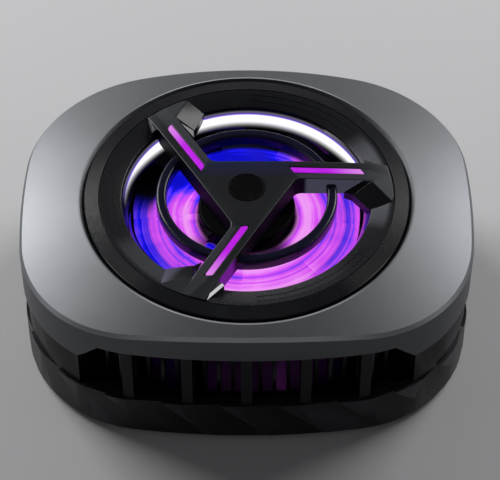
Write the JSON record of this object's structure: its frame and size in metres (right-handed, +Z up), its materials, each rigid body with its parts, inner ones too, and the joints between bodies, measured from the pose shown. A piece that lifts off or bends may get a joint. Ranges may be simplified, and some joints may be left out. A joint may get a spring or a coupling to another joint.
{
  "type": "phone cooling fan",
  "caption": "Rounded casing with a fan behind a three-armed grille that blows over a finned heat sink; its magnetic face underneath draws heat from a phone.",
  "frame": {"origin": "middle of the flat face that rests on the phone", "axes": "+X along the width, +Y to the back where the charging socket is, +Z up along the fan's axis"},
  "size_m": [0.076, 0.062, 0.0288],
  "materials": {
    "cover_paint": "satin grey paint over die-cast metal",
    "satin_black": "fine-grained satin black moulding",
    "gloss_black": "polished black moulding",
    "base_plastic": "dark satin moulding with slanted facets",
    "light_guide": "translucent light guide, lit magenta",
    "fan_plastic": "translucent fan plastic, lit violet to pink",
    "aluminium": "milled",
    "steel": "zinc plated",
    "copper": "bright copper and sintered bronze",
    "brass": "turned",
    "ceramic": "white fired ceramic",
    "semiconductor": "dull grey",
    "circuit_board": "dark solder mask",
    "chip_black": "moulded package",
    "led": "clear LED package",
    "silicone": "matt silicone",
    "foam": "closed-cell foam",
    "nickel": "nickel plated magnet",
    "ferrite": "sintered ferrite",
    "lead_wire": "wire insulation"
  },
  "bodies": {
    "housing": {"top_cover": "cover_paint", "bezel_ring": "satin_black", "grille": "satin_black", "light_strips": "light_guide", "hub_inlay": "gloss_black", "grille_light_board": "circuit_board", "grille_leds": "led", "grille_back_plate": "satin_black", "intake_duct": "gloss_black", "flange_screws": "steel", "fan_frame": "satin_black", "frame_screws": "steel", "bearing_tube": "brass", "upper_bearing": "copper", "lower_bearing": "copper", "thrust_cap": "steel", "stator_core": "steel", "stator_coils": "copper", "motor_board": "circuit_board", "fan_leds": "led", "heat_sink": "aluminium", "sink_screws": "steel", "module_hot_plate": "ceramic", "module_pellets": "semiconductor", "module_cold_plate": "ceramic", "module_leads": "lead_wire", "insulation_ring": "foam", "contact_plate": "aluminium", "contact_pad": "silicone", "grip_ring": "silicone", "magnets": "nickel", "shield_ring": "steel", "base_shell": "base_plastic", "base_screws": "steel", "front_vent": "satin_black", "rear_vent": "satin_black", "main_board": "circuit_board", "board_parts": "chip_black", "board_screws": "steel", "socket_shell": "steel", "socket_tongue": "chip_black"},
    "rotor": {"impeller": "fan_plastic", "rotor_yoke": "steel", "rotor_magnet": "ferrite", "shaft": "steel", "shaft_clip": "steel"}
  },
  "joints": [
    {"name": "fan_spin", "type": "hinge", "parent": "housing", "child": "rotor", "pos_m": [0, 0, 0.02], "axis": [0, 0, 1], "continuous": true}
  ]
}
